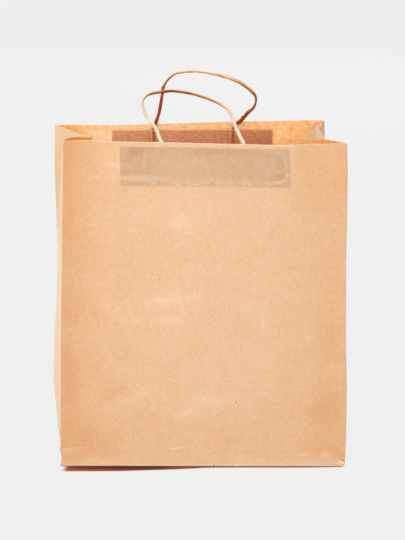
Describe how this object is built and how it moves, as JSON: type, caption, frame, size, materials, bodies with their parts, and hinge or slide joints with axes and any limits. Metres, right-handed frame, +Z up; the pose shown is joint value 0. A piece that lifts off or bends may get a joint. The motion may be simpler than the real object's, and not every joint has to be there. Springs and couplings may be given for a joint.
{
  "type": "paper carrier bag",
  "caption": "Open brown kraft paper carrier bag with gusseted sides, a flat folded bottom and twisted paper cord handles glued inside the top edge.",
  "frame": {"origin": "centre of the base rectangle, on the surface the bag stands on", "axes": "+Z up from the base towards the mouth; the front panel faces -Y; +X to the right when the front panel is seen from outside"},
  "size_m": [0.3317, 0.2125, 0.4341],
  "materials": {
    "kraft_sheet": "matte kraft, slightly ribbed",
    "patch_paper": "matte kraft",
    "paper_cord": "matte twisted paper"
  },
  "bodies": {
    "root": {"bag_body": "kraft_sheet", "front_patch_base": "patch_paper", "front_patch_cover": "patch_paper", "front_handle_cord": "paper_cord", "back_patch_base": "patch_paper", "back_patch_cover": "patch_paper", "back_handle_cord": "paper_cord"}
  },
  "joints": []
}
